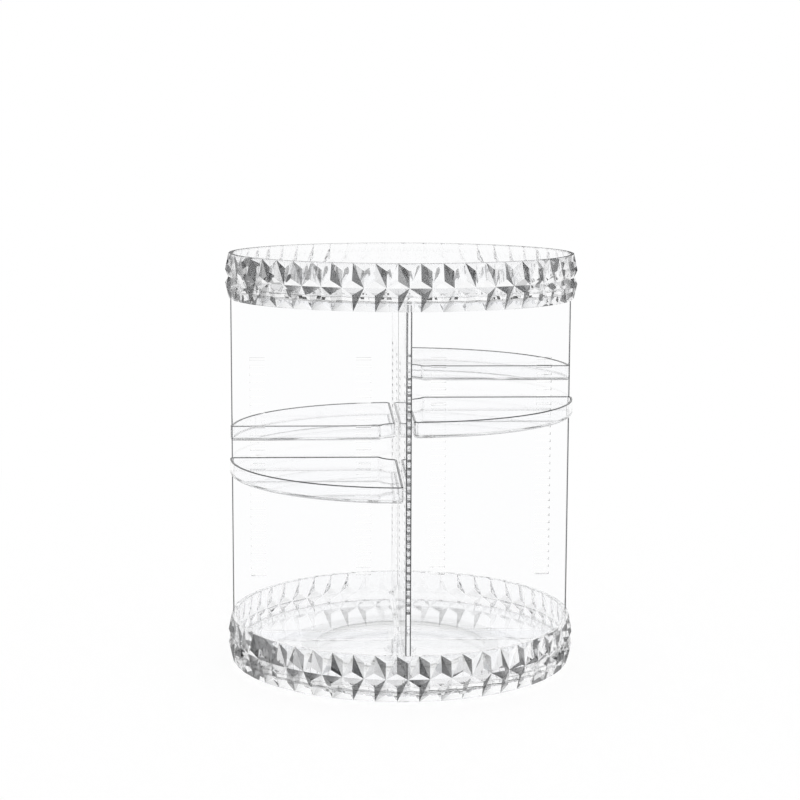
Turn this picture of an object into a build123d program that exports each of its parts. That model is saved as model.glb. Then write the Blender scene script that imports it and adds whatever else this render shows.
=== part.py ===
from build123d import *
import math
import os

# Clear plastic carousel organiser: a turntable foot, two trays with diamond-cut
# rings, four upright panels in a cross and four quarter shelves hung on the panels.
# Millimetres, +Z up, origin on the table under the turning axis, front at -Y.

# Diamond-cut rings of the two trays
RING_R = 115.0
RING_H = 29.0
FACET_DEPTH = 3.0
RING_WALL = 2.5
FACETS = 52

# Rows of facet corners from the rim down: height, turn within a facet, depth of cut
ROW_HEIGHT_SHARES = (0.0, 0.16, 0.36, 0.51, 0.66, 0.85, 1.0)
ROW_TURN_SHARES = (0.5, 0.0, 0.5, 0.0, 0.5, 0.0, 0.5)
ROW_CUT_SHARES = (0.75, 0.95, 0.0, 0.60, 0.0, 0.95, 0.75)

# Each facet's three corners as (row, facets round from this one)
FACET_CORNERS = (
    ((0, -1), (1, 0), (0, 0)),
    ((0, -1), (3, 0), (1, 0)),
    ((0, 0), (1, 0), (3, 0)),
    ((0, 0), (3, 0), (2, 0)),
    ((0, 0), (2, 0), (3, 1)),
    ((2, 0), (3, 0), (3, 1)),
    ((3, 0), (4, 0), (3, 1)),
    ((6, 0), (3, 1), (4, 0)),
    ((6, 0), (4, 0), (3, 0)),
    ((6, 0), (3, 0), (5, 0)),
    ((6, -1), (5, 0), (3, 0)),
    ((6, -1), (6, 0), (5, 0)),
)

# Tray floors, and the rails on them that hold the uprights
FLOOR_T = 2.2
FLOOR_FILLET = 1.5
RIM_ROUND = 0.8
SKIRT_H = 6.5
RAIL_T = 1.6
RAIL_H = 6.0
RAIL_START_R = 8.0
RAIL_PLAY = 0.1

# Upright panels
UPRIGHT_H = 211.0
UPRIGHT_T = 3.6
UPRIGHT_CORE_GAP = 0.4
UPRIGHT_EDGE_ROUND = 1.0
TONGUE_PLAY = 0.2

# Ladder of slots in each upright
LADDER_PITCH = 5.0
LADDER_FOOT_MARGIN = 24.0
LADDER_HEAD_MARGIN = 40.0
SLOT_PLAY = 0.3
SLOT_END_PLAY = 0.25

# Quarter shelves and the pegs that hang them
SHELF_PROUD = 1.0
SHELF_H = 10.0
SHELF_WALL = 1.6
SHELF_FLOOR_T = 1.6
SHELF_SIDE_GAP = 1.2
SHELF_INNER_R = 14.0
SHELF_CORNER_R = 3.0
SHELF_FOOT_ROUND = 1.2
SHELF_CAVITY_ROUND = 0.8
SHELF_RIM_ROUND_SHARE = 0.42
PEG_L = 8.0
PEG_H = 1.4
PEG_DEPTH = 1.5
PEG_RISE = 4.0
PEG_OUTER_INSET = 14.0
PEG_INNER_INSET = 6.0

# Which rung each shelf hangs on, as a share of the ladder from its foot
FRONT_LEFT_RUNG_SHARE = 0.52
BACK_LEFT_RUNG_SHARE = 0.66
FRONT_RIGHT_RUNG_SHARE = 0.79
BACK_RIGHT_RUNG_SHARE = 0.93

# Turntable foot and its rubber pads
FOOT_INSET = 23.5
FOOT_T = 2.4
FOOT_EDGE_ROUND = 0.8
HUB_WALL = 5.0
HUB_RISE = 2.0
PADS = 6
PAD_R = 6.0
PAD_T = 2.0
PAD_SEAT = 0.8
PAD_PLAY = 0.1
PAD_INSET = 10.0

# Ball bearing between foot and base tray
BALLS = 24
BALL_R = 2.0
BALL_PLAY = 0.05
RACE_INSET = 24.0
RACE_W = 9.0
RACE_T = 2.0
RACE_GAP = 2.9
CAGE_W = 7.0
CAGE_T = 1.4
CAGE_LIFT = 0.05

# Pivot that keeps the foot under the base tray
BOSS_R = 6.0
PIVOT_PLAY = 0.05
WASHER_R = 9.0
WASHER_T = 0.8
WASHER_ROOM = 0.5
SCREW_R = 1.75
SCREW_L = 7.0
SCREW_PLAY = 0.05
HEAD_R = 3.5
HEAD_T = 1.2
HEAD_LIFT = 0.35
DRIVE_L = 4.0
DRIVE_W = 0.9
DRIVE_DEPTH = 0.6

# Overrun of cutting shapes past the faces that they cut
OVERRUN = 1.0

# Radii and heights that follow from the sizes above
RIM_R = RING_R - FACET_DEPTH
BORE_R = RIM_R - RING_WALL
TONGUE_R = BORE_R - TONGUE_PLAY
CORE_R = UPRIGHT_T / 2 + UPRIGHT_CORE_GAP
FOOT_R = BORE_R - FOOT_INSET
PAD_PITCH_R = FOOT_R - PAD_INSET
BALL_PITCH_R = FOOT_R - RACE_INSET

FOOT_Z = PAD_T - PAD_SEAT
FOOT_TOP_Z = FOOT_Z + FOOT_T
RACE_LOWER_TOP_Z = FOOT_TOP_Z + RACE_T
RACE_UPPER_Z = RACE_LOWER_TOP_Z + RACE_GAP
BALL_Z = (RACE_LOWER_TOP_Z + RACE_UPPER_Z) / 2
BASE_UNDER_Z = RACE_UPPER_Z + RACE_T
BASE_Z = BASE_UNDER_Z - SKIRT_H
BASE_FLOOR_Z = BASE_UNDER_Z + FLOOR_T
BASE_RIM_Z = BASE_Z + RING_H
TOP_Z = BASE_RIM_Z + UPRIGHT_H
TOP_UNDER_Z = TOP_Z + SKIRT_H
TOP_FLOOR_Z = TOP_UNDER_Z + FLOOR_T

HEAD_TOP_Z = HEAD_LIFT + HEAD_T
WASHER_TOP_Z = HEAD_TOP_Z + WASHER_T
HUB_UNDER_Z = WASHER_TOP_Z + PIVOT_PLAY
HUB_BORE_R = BOSS_R + PIVOT_PLAY
HUB_R = HUB_BORE_R + HUB_WALL

LADDER_Z = BASE_RIM_Z + LADDER_FOOT_MARGIN
RUNGS = math.floor((TOP_Z - LADDER_HEAD_MARGIN - LADDER_Z) / LADDER_PITCH) + 1
SLOT_H = PEG_H + SLOT_PLAY
SLOT_L = PEG_L + PEG_DEPTH + 2 * SLOT_END_PLAY
SHELF_R = RIM_R + SHELF_PROUD
SHELF_SIDE = UPRIGHT_T / 2 + SHELF_SIDE_GAP
PEG_STARTS = (
    SHELF_INNER_R + PEG_INNER_INSET,
    RIM_R - PEG_OUTER_INSET - PEG_L,
)
MIN3 = (Align.CENTER, Align.CENTER, Align.MIN)


def disc(radius, low, high):
    """A solid cylinder about the turning axis between two heights."""
    return Pos(0, 0, low) * Cylinder(radius, high - low, align=MIN3)


def block(x0, x1, y0, y1, z0, z1):
    """A box between two corners."""
    corner = (Align.MIN, Align.MIN, Align.MIN)
    return Pos(x0, y0, z0) * Box(x1 - x0, y1 - y0, z1 - z0, align=corner)


def around(shape, count):
    """Copies of a shape evenly round the turning axis."""
    return [Rot(0, 0, 360 * i / count) * shape for i in range(count)]


# Diamond-cut rings
def facet_corner(row, step, low):
    """One corner of the cut surface, on a ring that stands at a height."""
    angle = 2 * math.pi * (step + ROW_TURN_SHARES[row]) / FACETS
    radius = RING_R - FACET_DEPTH * ROW_CUT_SHARES[row]
    height = low + RING_H * (1 - ROW_HEIGHT_SHARES[row])
    return Vector(radius * math.cos(angle), radius * math.sin(angle), height)


def facet(points):
    """A flat face through its corners."""
    return Face(Wire.make_polygon(points, close=True))


def cut_blank(low):
    """A solid drum with the diamond-cut surface all round."""
    faces = []
    for step in range(FACETS):
        for corners in FACET_CORNERS:
            faces.append(facet([facet_corner(row, (step + side) % FACETS, low) for row, side in corners]))
    for row in (0, len(ROW_HEIGHT_SHARES) - 1):
        faces.append(facet([facet_corner(row, step, low) for step in range(FACETS)]))
    return Solid(Shell(faces))


def rails(low, high):
    """Pairs of rails that hold the four uprights, across the whole ring."""
    inner = UPRIGHT_T / 2 + RAIL_PLAY
    outer = inner + RAIL_T
    pair = [
        block(RAIL_START_R, RING_R, inner, outer, low, high),
        block(RAIL_START_R, RING_R, -outer, -inner, low, high),
    ]
    return [copy for rail in pair for copy in around(rail, 4)]


def pocket(low, high, floor_at):
    """The round hollow of a ring, rounded where it meets the floor."""
    hollow = disc(BORE_R, low, high)
    rings = hollow.edges().filter_by(GeomType.CIRCLE).sort_by(Axis.Z)
    return fillet(rings[0] if floor_at == "low" else rings[-1], FLOOR_FILLET)


def round_rim(tray):
    """Rounds the inner edge of a tray's rim."""
    circles = tray.edges().filter_by(GeomType.CIRCLE)
    return fillet(circles.group_by(Axis.Z)[-1], RIM_ROUND)


def make_base_tray():
    """Base tray: cut ring, floor, rails above it and pivot boss below it."""
    inside = pocket(BASE_FLOOR_Z, BASE_RIM_Z + OVERRUN, "low")
    inside -= rails(BASE_FLOOR_Z, BASE_FLOOR_Z + RAIL_H)
    below = pocket(BASE_Z - OVERRUN, BASE_UNDER_Z, "high")
    tray = round_rim(cut_blank(BASE_Z) - [inside, below])
    tray += disc(BOSS_R, WASHER_TOP_Z, BASE_UNDER_Z)
    return tray - disc(SCREW_R + SCREW_PLAY, WASHER_TOP_Z - OVERRUN, HEAD_TOP_Z + SCREW_L + SCREW_PLAY)


def make_top_tray():
    """Top tray: cut ring, floor and rails below it."""
    inside = pocket(TOP_FLOOR_Z, TOP_Z + RING_H + OVERRUN, "low")
    below = pocket(TOP_Z - OVERRUN, TOP_UNDER_Z, "high")
    below -= rails(TOP_UNDER_Z - RAIL_H, TOP_UNDER_Z)
    return round_rim(cut_blank(TOP_Z) - [inside, below])


# Uprights
def make_upright(turn):
    """An upright panel with its two tongues and two columns of slots, turned into place."""
    outline = Polyline(
        (CORE_R, BASE_FLOOR_Z),
        (TONGUE_R - FLOOR_FILLET, BASE_FLOOR_Z),
        (TONGUE_R, BASE_FLOOR_Z + FLOOR_FILLET),
        (TONGUE_R, BASE_RIM_Z),
        (RIM_R, BASE_RIM_Z),
        (RIM_R, TOP_Z),
        (TONGUE_R, TOP_Z),
        (TONGUE_R, TOP_UNDER_Z - FLOOR_FILLET),
        (TONGUE_R - FLOOR_FILLET, TOP_UNDER_Z),
        (CORE_R, TOP_UNDER_Z),
        close=True,
    )
    slot = Rectangle(SLOT_L, SLOT_H, align=(Align.MIN, Align.MIN))
    slots = []
    for start in PEG_STARTS:
        for rung in range(RUNGS):
            slots.append(Pos(start - SLOT_END_PLAY, LADDER_Z + LADDER_PITCH * rung) * slot)
    profile = make_face(outline) - slots
    panel = extrude(Plane.XZ * profile, UPRIGHT_T / 2, both=True)
    corners = panel.edges().filter_by(Axis.Z).group_by(Axis.X)[-1]
    return Rot(0, 0, turn) * fillet(corners, UPRIGHT_EDGE_ROUND)


# Shelves
def make_shelf(turn, rung_share):
    """A quarter shelf with a peg at each end of its two straight walls, turned into place."""
    quarter = Pos(SHELF_SIDE, SHELF_SIDE) * Rectangle(SHELF_R, SHELF_R, align=(Align.MIN, Align.MIN))
    quarter = (quarter & Circle(SHELF_R)) - Circle(SHELF_INNER_R)
    outline = fillet(quarter.vertices(), SHELF_CORNER_R)
    shelf = extrude(outline, SHELF_H)
    shelf = fillet(shelf.faces().sort_by(Axis.Z)[0].edges(), SHELF_FOOT_ROUND)
    cavity = Pos(0, 0, SHELF_FLOOR_T) * extrude(offset(outline, -SHELF_WALL), SHELF_H)
    shelf -= fillet(cavity.faces().sort_by(Axis.Z)[0].edges(), SHELF_CAVITY_ROUND)
    shelf = fillet(shelf.faces().sort_by(Axis.Z)[-1].edges(), SHELF_WALL * SHELF_RIM_ROUND_SHARE)
    tip = UPRIGHT_T / 2 - PEG_DEPTH
    root = SHELF_SIDE + SHELF_WALL / 2
    for start in PEG_STARTS:
        shelf += block(start, start + PEG_L, tip, root, PEG_RISE, PEG_RISE + PEG_H)
        shelf += block(tip, root, start, start + PEG_L, PEG_RISE, PEG_RISE + PEG_H)
    rung = round(rung_share * (RUNGS - 1))
    return Pos(0, 0, LADDER_Z + LADDER_PITCH * rung - PEG_RISE) * Rot(0, 0, turn) * shelf


# Turntable foot
def make_foot_disc():
    """The disc that stays still on the table, with a hub for the pivot and seats for the pads."""
    plate = disc(FOOT_R, FOOT_Z, FOOT_TOP_Z)
    plate = fillet(plate.edges().filter_by(GeomType.CIRCLE), FOOT_EDGE_ROUND)
    plate += disc(HUB_R, FOOT_Z, FOOT_TOP_Z + HUB_RISE)
    plate -= disc(WASHER_R + WASHER_ROOM, FOOT_Z - OVERRUN, HUB_UNDER_Z)
    plate -= disc(HUB_BORE_R, FOOT_Z, FOOT_TOP_Z + HUB_RISE + OVERRUN)
    seat = Pos(PAD_PITCH_R, 0, 0) * disc(PAD_R + PAD_PLAY, 0, PAD_T)
    return plate - around(seat, PADS)


def make_foot_pads():
    """Rubber pads under the foot."""
    return Compound(around(Pos(PAD_PITCH_R, 0, 0) * disc(PAD_R, 0, PAD_T), PADS))


# Ball bearing
def make_race(low):
    """A flat wear ring with the balls' groove in it."""
    ring = disc(BALL_PITCH_R + RACE_W / 2, low, low + RACE_T)
    ring -= disc(BALL_PITCH_R - RACE_W / 2, low - OVERRUN, low + RACE_T + OVERRUN)
    return ring - Pos(0, 0, BALL_Z) * Torus(BALL_PITCH_R, BALL_R + BALL_PLAY)


def make_balls():
    """Bearing balls round the race."""
    return Compound(around(Pos(BALL_PITCH_R, 0, BALL_Z) * Sphere(BALL_R), BALLS))


def make_ball_cage():
    """The flat ring that keeps the balls apart."""
    low = RACE_LOWER_TOP_Z + CAGE_LIFT
    ring = disc(BALL_PITCH_R + CAGE_W / 2, low, low + CAGE_T)
    ring -= disc(BALL_PITCH_R - CAGE_W / 2, low - OVERRUN, low + CAGE_T + OVERRUN)
    hole = Pos(BALL_PITCH_R, 0, 0) * disc(BALL_R + BALL_PLAY, low - OVERRUN, low + CAGE_T + OVERRUN)
    return ring - around(hole, BALLS)


# Pivot
def make_pivot_washer():
    """Steel washer under the pivot boss, wide enough to hold the foot's hub."""
    ring = disc(WASHER_R, HEAD_TOP_Z, WASHER_TOP_Z)
    return ring - disc(SCREW_R + SCREW_PLAY, HEAD_TOP_Z - OVERRUN, WASHER_TOP_Z + OVERRUN)


def make_pivot_screw():
    """Pan-head screw up into the pivot boss, with a cross drive."""
    screw = disc(HEAD_R, HEAD_LIFT, HEAD_TOP_Z) + disc(SCREW_R, HEAD_TOP_Z, HEAD_TOP_Z + SCREW_L)
    bar = Box(DRIVE_L, DRIVE_W, 2 * DRIVE_DEPTH)
    cross = Pos(0, 0, HEAD_LIFT) * (bar + Rot(0, 0, 90) * bar)
    return screw - cross


os.makedirs("parts", exist_ok=True)
nodes = {
    "foot_disc": make_foot_disc(),
    "foot_pads": make_foot_pads(),
    "race_lower": make_race(FOOT_TOP_Z),
    "ball_cage": make_ball_cage(),
    "bearing_balls": make_balls(),
    "race_upper": make_race(RACE_UPPER_Z),
    "pivot_washer": make_pivot_washer(),
    "pivot_screw": make_pivot_screw(),
    "base_tray": make_base_tray(),
    "upright_right": make_upright(0),
    "upright_back": make_upright(90),
    "upright_left": make_upright(180),
    "upright_front": make_upright(270),
    "top_tray": make_top_tray(),
    "shelf_back_right": make_shelf(0, BACK_RIGHT_RUNG_SHARE),
    "shelf_back_left": make_shelf(90, BACK_LEFT_RUNG_SHARE),
    "shelf_front_left": make_shelf(180, FRONT_LEFT_RUNG_SHARE),
    "shelf_front_right": make_shelf(270, FRONT_RIGHT_RUNG_SHARE),
}
for name, shape in nodes.items():
    export_step(shape, os.path.join("parts", f"{name}.step"))
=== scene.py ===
import bpy
import math
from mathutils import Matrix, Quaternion, Vector

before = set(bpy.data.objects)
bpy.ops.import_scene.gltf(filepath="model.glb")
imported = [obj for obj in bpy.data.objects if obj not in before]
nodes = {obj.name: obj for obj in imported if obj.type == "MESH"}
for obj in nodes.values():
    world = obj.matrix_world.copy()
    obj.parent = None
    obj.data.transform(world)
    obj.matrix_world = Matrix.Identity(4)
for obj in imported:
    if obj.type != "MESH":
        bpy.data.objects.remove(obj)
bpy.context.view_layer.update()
scene = bpy.context.scene

# View settings and the light paths that stacked clear walls need
CLEAR_BOUNCES = 40
DIFFUSE_BOUNCES = 4
scene.view_settings.view_transform = "Standard"
scene.cycles.max_bounces = CLEAR_BOUNCES
scene.cycles.transmission_bounces = CLEAR_BOUNCES
scene.cycles.glossy_bounces = CLEAR_BOUNCES
scene.cycles.diffuse_bounces = DIFFUSE_BOUNCES
scene.cycles.blur_glossy = 0.0

# Camera at the photograph's angle
CAMERA_AIM = Vector((-0.0006, 0.0, 0.1753))
CAMERA_DISTANCE = 1.1957
CAMERA_PITCH = math.radians(8.115)
CAMERA_TURN = math.radians(-2.5)
CAMERA_ROLL = math.radians(0.19)
CAMERA_LENS = 81.28
CAMERA_SENSOR = 36.0
CAMERA_REACH = 50.0


def add_camera():
    """Places the camera in front, a little to the left and above."""
    data = bpy.data.cameras.new("camera")
    data.lens = CAMERA_LENS
    data.sensor_width = CAMERA_SENSOR
    data.clip_end = CAMERA_REACH
    camera = bpy.data.objects.new("camera", data)
    scene.collection.objects.link(camera)
    flat = math.cos(CAMERA_PITCH)
    back = Vector((math.sin(CAMERA_TURN) * flat, -math.cos(CAMERA_TURN) * flat, math.sin(CAMERA_PITCH)))
    camera.location = CAMERA_AIM + back * CAMERA_DISTANCE
    camera.rotation_mode = "QUATERNION"
    look = (-back).to_track_quat("-Z", "Y")
    camera.rotation_quaternion = look @ Quaternion((0, 0, 1), CAMERA_ROLL)
    scene.camera = camera


add_camera()


class Nodes:
    """Adds shader nodes to a tree and links them."""

    def __init__(self, tree):
        self.tree = tree
        tree.nodes.clear()

    def add(self, kind, settings=None, **inputs):
        """Adds one node; a key such as From_Min or _0 names an input."""
        node = self.tree.nodes.new(kind)
        for key, value in (settings or {}).items():
            setattr(node, key, value)
        for key, value in inputs.items():
            self.feed(node.inputs[int(key[1:]) if key[1:].isdigit() else key.replace("_", " ")], value)
        return node

    def feed(self, socket, value):
        """Links a socket to an input, or sets a plain value there."""
        if isinstance(value, bpy.types.NodeSocket):
            self.tree.links.new(value, socket)
        else:
            socket.default_value = value

    def math(self, operation, first, second=0.0):
        """One sum on two values."""
        return self.add("ShaderNodeMath", {"operation": operation}, _0=first, _1=second).outputs[0]

    def vector(self, operation, first, second=(0, 0, 0)):
        """One sum on two vectors."""
        node = self.add("ShaderNodeVectorMath", {"operation": operation}, _0=first, _1=second)
        return node.outputs["Value" if operation in ("DOT_PRODUCT", "LENGTH") else "Vector"]

    def axes(self, vector):
        """The three numbers of a vector, by name."""
        return self.add("ShaderNodeSeparateXYZ", Vector=vector).outputs

    def ramp(self, value, low, high, start=0.0, end=1.0):
        """A smooth step from start to end as the value goes from low to high."""
        settings = {"interpolation_type": "SMOOTHSTEP"}
        return self.add("ShaderNodeMapRange", settings, Value=value, From_Min=low, From_Max=high,
                        To_Min=start, To_Max=end).outputs["Result"]

    def noise(self, place, scale, detail):
        """Soft noise between 0 and 1."""
        return self.add("ShaderNodeTexNoise", Vector=place, Scale=scale, Detail=detail).outputs["Fac"]

    def tint(self, share, first, second):
        """A colour between two colours, which are sockets 6 and 7 of a mix node."""
        node = self.add("ShaderNodeMix", {"data_type": "RGBA"}, _0=share)
        self.feed(node.inputs[6], first)
        self.feed(node.inputs[7], second)
        return node.outputs[2]


def new_material(name):
    """A material with an empty node tree."""
    material = bpy.data.materials.new(name)
    material.use_nodes = True
    return material, Nodes(material.node_tree)


def assign(names, material):
    """Gives nodes one material."""
    for name in names:
        mesh = nodes[name].data
        mesh.materials.clear()
        mesh.materials.append(material)


# Clear plastic, and the dark tone painted on its edges and facets as painted shade
CLEAR = (0.985, 0.987, 0.992, 1)
DARK = (0.012, 0.0125, 0.0135, 1)
CLEAR_IOR = 1.59
POLISH = 0.012
FOOT_POLISH = 0.05
RIPPLE_SCALE = 38.0
RIPPLE_DETAIL = 2.0
RIPPLE_STRENGTH = 0.05
RIPPLE_DEPTH = 0.0004
HAZE_SCALE = 120.0
HAZE_DETAIL = 3.0
HAZE_BAND = (0.3, 0.75)
HAZE_SHARES = (0.6, 1.6)

# Painted shade on the facets of a ring: the share of a facet's turn and lift in its lean, as if lit from one
# side, and a random spread of that shade from facet to facet
FACET_TURN_SHARE = 0.9
FACET_LIFT_SHARE = 0.4
FACET_LEAN_BAND = (0.0, -0.18)
FACET_LEAN_SHARE = 0.975
FACET_OUTSIDE_BAND = (0.3, 0.6)
SHADE_SPREAD_STEP = 0.05
SHADE_SPREAD_BAND = (0.2, 0.6)
SHADE_SPREAD_SHARES = (0.2, 1.0)

# Chips of painted shade that break up the facets seen at a low angle, counted along the ring and up it
CHIPS_PER_RADIAN = 13.0
CHIPS_PER_METRE = 290.0
CHIP_BAND = (0.35, 0.55)
CHIP_SHARES = (0.1, 0.985)
LOW_ANGLE_BAND = (0.3, 0.45)

# Painted shade on the corners of an upright, and on the outermost ends of its slots, found by their distance
# from the axis
CORNER_BAND = (0.05, 0.3)
SLOT_FACING_BAND = (0.8, 0.95)
SLOT_SHARE = 0.93
SLOT_END_INSIDE = (0.094, 0.097)
SLOT_END_OUTSIDE = (0.107, 0.103)

# Painted shade on the rounded rim of a shelf, by its share of the shelf's height
SHELF_RIM_BAND = (0.925, 0.955)


def low_angle_painted_shade(n):
    """Painted shade that grows where a face is seen at a low angle, in place of the dark that bent light
    gives clear plastic at its edges.
    """
    return n.ramp(n.add("ShaderNodeLayerWeight", Blend=0.5).outputs["Facing"], *LOW_ANGLE_BAND)


def facet_lean_painted_shade(n, normal, outward):
    """Painted shade on the facets that lean one way, as if lit from the other side, spread at random from
    facet to facet.
    """
    across = n.vector("CROSS_PRODUCT", outward, (0, 0, 1))
    turn = n.math("MULTIPLY", n.vector("DOT_PRODUCT", normal, across), FACET_TURN_SHARE)
    lift = n.vector("DOT_PRODUCT", normal, (0, 0, FACET_LIFT_SHARE))
    lean = n.ramp(n.math("SUBTRACT", turn, lift), *FACET_LEAN_BAND, 0.0, FACET_LEAN_SHARE)
    step = n.vector("SNAP", normal, (SHADE_SPREAD_STEP, SHADE_SPREAD_STEP, SHADE_SPREAD_STEP))
    shade_spread = n.add("ShaderNodeTexWhiteNoise", Vector=step).outputs["Value"]
    return n.math("MULTIPLY", lean, n.ramp(shade_spread, *SHADE_SPREAD_BAND, *SHADE_SPREAD_SHARES))


def facet_painted_shade_chips(n, place):
    """Small patches of painted shade round a ring."""
    axes = n.axes(place)
    along = n.math("MULTIPLY", n.math("ARCTAN2", axes["Y"], axes["X"]), CHIPS_PER_RADIAN)
    up = n.math("MULTIPLY", axes["Z"], CHIPS_PER_METRE)
    grid = n.add("ShaderNodeCombineXYZ", X=along, Y=up).outputs[0]
    cells = n.add("ShaderNodeTexVoronoi", {"voronoi_dimensions": "2D"}, Vector=grid, Scale=1.0)
    return n.ramp(n.axes(cells.outputs["Color"])["X"], *CHIP_BAND, *CHIP_SHARES)


def ring_facet_painted_shade(n):
    """Painted shade on the outer facets of a ring, broken up where they are seen at a low angle."""
    coords = n.add("ShaderNodeTexCoord").outputs
    outward = n.vector("NORMALIZE", n.vector("MULTIPLY", coords["Object"], (1, 1, 0)))
    lean = facet_lean_painted_shade(n, coords["Normal"], outward)
    chips = n.math("MULTIPLY", facet_painted_shade_chips(n, coords["Object"]), low_angle_painted_shade(n))
    outside = n.ramp(n.vector("DOT_PRODUCT", coords["Normal"], outward), *FACET_OUTSIDE_BAND)
    return n.math("MULTIPLY", n.math("MAXIMUM", lean, chips), outside)


def panel_edge_painted_shade(n):
    """Painted shade on the rounded outer corners of an upright, found by the way they face, and on the ends
    of its slots.
    """
    coords = n.add("ShaderNodeTexCoord").outputs
    axes = n.axes(coords["Normal"])
    corner = n.ramp(n.math("ABSOLUTE", n.math("MULTIPLY", axes["X"], axes["Y"])), *CORNER_BAND)
    flat = n.vector("MULTIPLY", coords["Object"], (1, 1, 0))
    along = n.math("ABSOLUTE", n.vector("DOT_PRODUCT", coords["Normal"], n.vector("NORMALIZE", flat)))
    reach = n.vector("LENGTH", flat)
    ladder = n.math("MULTIPLY", n.ramp(reach, *SLOT_END_INSIDE), n.ramp(reach, *SLOT_END_OUTSIDE))
    slot = n.math("MULTIPLY", n.ramp(along, *SLOT_FACING_BAND, 0.0, SLOT_SHARE), ladder)
    return n.math("MAXIMUM", corner, slot)


def shelf_rim_painted_shade(n):
    """Painted shade on the rounded rim of a shelf."""
    height = n.axes(n.add("ShaderNodeTexCoord").outputs["Generated"])["Z"]
    return n.ramp(height, *SHELF_RIM_BAND)


def clear_plastic(name, painted_shade=None, roughness=POLISH):
    """Clear moulded plastic: polished, with a faint ripple and haze, and painted shade on its edges."""
    material, n = new_material(name)
    place = n.add("ShaderNodeTexCoord").outputs["Object"]
    ripple = n.noise(place, RIPPLE_SCALE, RIPPLE_DETAIL)
    bump = n.add("ShaderNodeBump", Strength=RIPPLE_STRENGTH, Distance=RIPPLE_DEPTH, Height=ripple)
    low, high = (roughness * share for share in HAZE_SHARES)
    haze = n.ramp(n.noise(place, HAZE_SCALE, HAZE_DETAIL), *HAZE_BAND, low, high)
    shader = n.add("ShaderNodeBsdfPrincipled", Base_Color=CLEAR, Roughness=haze, IOR=CLEAR_IOR,
                   Normal=bump.outputs[0], Transmission_Weight=1.0)
    # Painted shade: the base colour goes to the dark tone where the given mask grows
    if painted_shade is not None:
        n.feed(shader.inputs["Base Color"], n.tint(painted_shade(n), CLEAR, DARK))
    n.add("ShaderNodeOutputMaterial", Surface=shader.outputs["BSDF"])
    return material


# Mottle and fine relief of the solid finishes
MOTTLE_DETAIL = 4.0
MOTTLE_BAND = (0.35, 0.7)
FINE_SCALE_SHARE = 6.0
FINE_DETAIL = 2.0
FINE_STRENGTH = 0.4
FINE_BAND = (0.3, 0.7)
ROUGH_SHARES = (0.7, 1.4)


def hard_finish(name, colour, second, metallic, roughness, scale, depth, stretch=(1, 1, 1)):
    """A solid finish with its own mottle, roughness and fine relief."""
    material, n = new_material(name)
    place = n.add("ShaderNodeTexCoord").outputs["Object"]
    place = n.add("ShaderNodeMapping", Vector=place, Scale=stretch).outputs[0]
    mottle = n.noise(place, scale, MOTTLE_DETAIL)
    fine = n.noise(place, scale * FINE_SCALE_SHARE, FINE_DETAIL)
    bump = n.add("ShaderNodeBump", Strength=FINE_STRENGTH, Distance=depth, Height=fine)
    low, high = (roughness * share for share in ROUGH_SHARES)
    rough = n.ramp(fine, *FINE_BAND, low, high)
    mixed = n.tint(n.ramp(mottle, *MOTTLE_BAND), colour, second)
    shader = n.add("ShaderNodeBsdfPrincipled", Base_Color=mixed, Roughness=rough, Metallic=metallic,
                   Normal=bump.outputs[0])
    n.add("ShaderNodeOutputMaterial", Surface=shader.outputs["BSDF"])
    return material


UPRIGHTS = ("upright_front", "upright_right", "upright_back", "upright_left")
SHELVES = ("shelf_front_left", "shelf_front_right", "shelf_back_left", "shelf_back_right")
RACES = ("race_lower", "race_upper")
PIVOT = ("pivot_screw", "pivot_washer")

# The rings, uprights and shelves get painted shade on their facets, corners, slot ends and rims
assign(("base_tray", "top_tray"), clear_plastic("clear_ring", ring_facet_painted_shade))
assign(UPRIGHTS, clear_plastic("clear_panel", panel_edge_painted_shade))
assign(SHELVES, clear_plastic("clear_shelf", shelf_rim_painted_shade))
assign(("foot_disc",), clear_plastic("clear_foot", None, FOOT_POLISH))
assign(("foot_pads",), hard_finish(
    "pad_rubber", colour=(0.74, 0.75, 0.76, 1), second=(0.82, 0.83, 0.84, 1),
    metallic=0.0, roughness=0.6, scale=160.0, depth=0.0001))
assign(RACES, hard_finish(
    "wear_ring", colour=(0.88, 0.88, 0.87, 1), second=(0.93, 0.93, 0.92, 1),
    metallic=0.0, roughness=0.35, scale=90.0, depth=0.00004))
assign(("ball_cage",), hard_finish(
    "cage_plastic", colour=(0.84, 0.84, 0.82, 1), second=(0.9, 0.9, 0.88, 1),
    metallic=0.0, roughness=0.4, scale=120.0, depth=0.00005))
assign(("bearing_balls",), hard_finish(
    "bearing_steel", colour=(0.72, 0.73, 0.74, 1), second=(0.8, 0.81, 0.82, 1),
    metallic=1.0, roughness=0.12, scale=300.0, depth=0.00001))
assign(PIVOT, hard_finish(
    "pivot_steel", colour=(0.66, 0.67, 0.69, 1), second=(0.76, 0.77, 0.78, 1),
    metallic=1.0, roughness=0.25, scale=220.0, depth=0.00003, stretch=(1, 1, 6)))

# A hair of air round the pieces that lie flat on clear plastic, so that light passes as between real faces
HAIR_GAP = 0.00004
WELD_REACH = 0.000002
for name in UPRIGHTS + RACES + ("foot_pads",) + PIVOT:
    weld = nodes[name].modifiers.new("weld", "WELD")
    weld.merge_threshold = WELD_REACH
    gap = nodes[name].modifiers.new("hair_gap", "DISPLACE")
    gap.mid_level = 0.0
    gap.strength = -HAIR_GAP

# Brightness of the studio above the floor, by the sine of the height angle
STUDIO_BANDS = (
    (0.0, 1.0), (0.02, 1.0), (0.032, 0.02), (0.11, 0.02), (0.122, 1.0), (0.375, 1.0), (0.423, 0.03),
    (0.643, 0.03), (0.682, 0.9), (0.766, 0.9), (0.809, 0.1), (0.883, 0.1), (0.914, 1.0), (1.0, 1.0),
)

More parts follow.
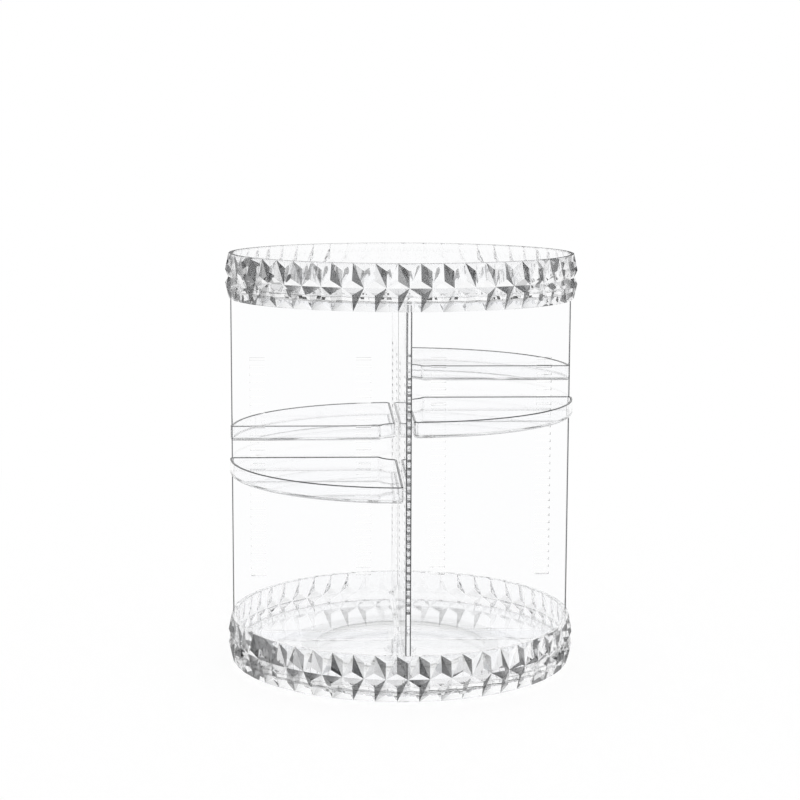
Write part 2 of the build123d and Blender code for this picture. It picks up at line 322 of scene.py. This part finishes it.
# Soft boxes that stand round the studio in its middle band, and the top of the low band
SOFT_BOXES = 10.0
BOX_SIDE_BAND = (0.2, 0.4)
BOX_FOOT_BAND = (0.38, 0.44)
BOX_HEAD_BAND = (0.66, 0.6)
LOW_BAND_TOP = (0.36, 0.42)


def studio_level(n, path):
    """Brightness that a bent ray meets; the low dark band is there for rays mirrored just once."""
    axes = n.axes(n.add("ShaderNodeTexCoord").outputs["Generated"])
    bands = n.add("ShaderNodeValToRGB", Fac=axes["Z"])
    stops = bands.color_ramp.elements
    while len(stops) < len(STUDIO_BANDS):
        stops.new(0.5)
    for stop, (height, level) in zip(stops, STUDIO_BANDS):
        stop.position = height
        stop.color = (level, level, level, 1)
    turn = n.math("MULTIPLY", n.math("ARCTAN2", axes["Y"], axes["X"]), SOFT_BOXES)
    sides = n.ramp(n.math("SINE", turn), *BOX_SIDE_BAND)
    ends = n.math("MULTIPLY", n.ramp(axes["Z"], *BOX_FOOT_BAND), n.ramp(axes["Z"], *BOX_HEAD_BAND))
    level = n.add("ShaderNodeRGBToBW", Color=bands.outputs[0]).outputs[0]
    level = n.math("MAXIMUM", level, n.math("MULTIPLY", sides, ends))
    from_once = n.math("ABSOLUTE", n.math("SUBTRACT", path["Glossy Depth"], 1.0))
    other = n.math("GREATER_THAN", from_once, 0.5)
    return n.math("MAXIMUM", level, n.math("MULTIPLY", other, n.ramp(axes["Z"], *LOW_BAND_TOP, 1.0, 0.0)))


def add_world():
    """A white room for the background and the light; bent rays also meet the dark gaps between soft boxes."""
    world = bpy.data.worlds.new("studio")
    scene.world = world
    world.use_nodes = True
    n = Nodes(world.node_tree)
    path = n.add("ShaderNodeLightPath").outputs
    level = studio_level(n, path)
    grey = n.add("ShaderNodeCombineColor", Red=level, Green=level, Blue=level).outputs[0]
    bent = n.math("MAXIMUM", path["Is Glossy Ray"], path["Is Transmission Ray"])
    bent = n.math("MULTIPLY", bent, n.math("LESS_THAN", path["Diffuse Depth"], 0.5))
    room = n.add("ShaderNodeBackground", Color=n.tint(bent, (1, 1, 1, 1), grey), Strength=1.0)
    n.add("ShaderNodeOutputWorld", Surface=room.outputs[0])


add_world()

# Floor: its reach, its colour, and where and how far it turns to the white of the background
FLOOR_REACH = 12.0
FLOOR_COLOUR = (0.985, 0.985, 0.985, 1)
FLOOR_WHITE_BAND = (0.1, 0.8)
FLOOR_WHITE_SHARES = (0.85, 1.0)


def add_floor():
    """A plain pale floor that keeps the object's shadow and runs into the white background."""
    mesh = bpy.data.meshes.new("floor")
    signs = ((-1, -1), (1, -1), (1, 1), (-1, 1))
    mesh.from_pydata([(FLOOR_REACH * x, FLOOR_REACH * y, 0) for x, y in signs], [], [(0, 1, 2, 3)])
    floor = bpy.data.objects.new("floor", mesh)
    scene.collection.objects.link(floor)
    material, n = new_material("pale_floor")
    near = n.add("ShaderNodeBsdfDiffuse", Color=FLOOR_COLOUR)
    far = n.add("ShaderNodeEmission", Color=(1, 1, 1, 1), Strength=1.0)
    path = n.add("ShaderNodeLightPath").outputs
    bent = n.math("MAXIMUM", path["Is Glossy Ray"], path["Is Transmission Ray"])
    seen = n.math("MAXIMUM", path["Is Camera Ray"], bent)
    away = n.vector("LENGTH", n.add("ShaderNodeTexCoord").outputs["Object"])
    white = n.math("MULTIPLY", seen, n.ramp(away, *FLOOR_WHITE_BAND, *FLOOR_WHITE_SHARES))
    mixed = n.add("ShaderNodeMixShader", Fac=white, _1=near.outputs[0], _2=far.outputs[0])
    n.add("ShaderNodeOutputMaterial", Surface=mixed.outputs[0])
    mesh.materials.append(material)


add_floor()
